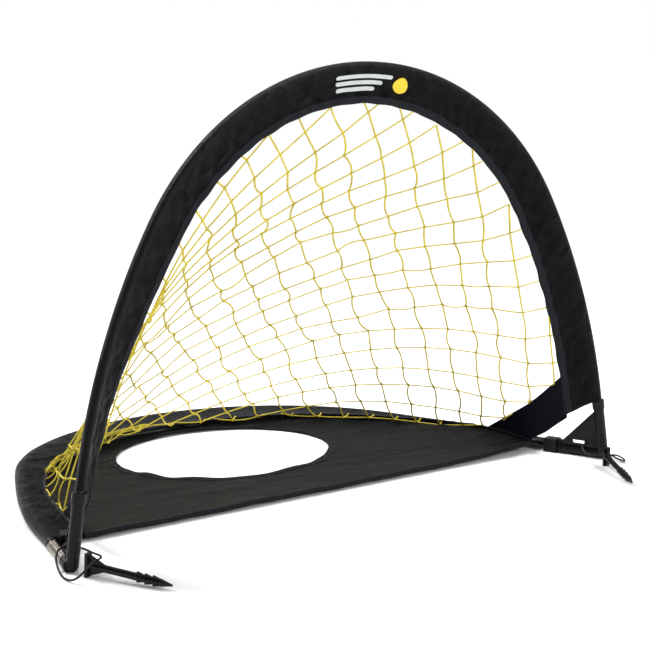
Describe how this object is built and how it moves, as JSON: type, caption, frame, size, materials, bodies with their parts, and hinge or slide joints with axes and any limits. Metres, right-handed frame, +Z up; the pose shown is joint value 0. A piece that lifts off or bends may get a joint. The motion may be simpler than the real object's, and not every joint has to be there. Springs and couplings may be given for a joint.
{
  "type": "pop up goal",
  "caption": "Free-standing sprung lawn goal: an upright arch and a ground hoop joined by corner springs, cloth sleeves, a net pocket, a floor with an oval opening, and tethered pegs.",
  "frame": {"origin": "on the ground, midway between left and right and between front and back, without the pegs and their tethers", "axes": "+X along the goal mouth to the right seen from the front, +Y from the mouth to the back of the pocket, +Z up"},
  "size_m": [1.2616, 1.1085, 0.822],
  "materials": {
    "pole_fibreglass": "smooth resin over glass fibre",
    "sleeve_cloth": "woven polyester with a soft sheen",
    "floor_cloth": "woven polyester",
    "binding_tape": "ribbed binding tape",
    "webbing": "woven webbing",
    "net_twine": "twisted twine, knotted",
    "bracket_plastic": "moulded, lightly textured",
    "spring_steel": "nickel-plated wire",
    "peg_plastic": "moulded, lightly textured",
    "tether_cord": "braided cord"
  },
  "bodies": {
    "arch": {"arch_pole": "pole_fibreglass", "arch_sleeve": "sleeve_cloth", "arch_hem_tape": "binding_tape", "bracket_left": "bracket_plastic", "bracket_right": "bracket_plastic", "spring_pin_left": "spring_steel", "spring_pin_right": "spring_steel", "base_spring_left": "spring_steel", "base_spring_right": "spring_steel", "net_panel": "net_twine", "gusset_left": "webbing", "gusset_right": "webbing"},
    "base": {"base_pole": "pole_fibreglass", "base_sleeve": "sleeve_cloth", "base_hem_tape": "binding_tape", "base_cuff_left": "bracket_plastic", "base_cuff_right": "bracket_plastic", "floor_panel": "floor_cloth", "hole_hem_tape": "binding_tape", "front_hem_tape": "webbing"},
    "peg_on_left": {"peg_left": "peg_plastic", "tether_left": "tether_cord", "tether_knot_left": "tether_cord"},
    "peg_on_right": {"peg_right": "peg_plastic", "tether_right": "tether_cord", "tether_knot_right": "tether_cord"}
  },
  "joints": [
    {"name": "base_fold", "type": "hinge", "parent": "arch", "child": "base", "pos_m": [0, -0.37862, 0.01], "axis": [1, 0, 0], "range_deg": [0, 88], "stiffness_Nm_per_rad": 8, "springref_deg": -17.99, "deforming": ["base_spring_left", "base_spring_right", "net_panel", "gusset_left", "gusset_right"]},
    {"name": "peg_swing_left", "type": "hinge", "parent": "arch", "child": "peg_on_left", "pos_m": [-0.5902, -0.4168, 0.0286], "axis": [0, 0, 1], "range_deg": [-20, 20], "deforming": ["tether_left", "tether_knot_left"]},
    {"name": "peg_swing_right", "type": "hinge", "parent": "arch", "child": "peg_on_right", "pos_m": [0.5902, -0.4168, 0.0286], "axis": [0, 0, 1], "range_deg": [-20, 20], "deforming": ["tether_right", "tether_knot_right"]}
  ]
}
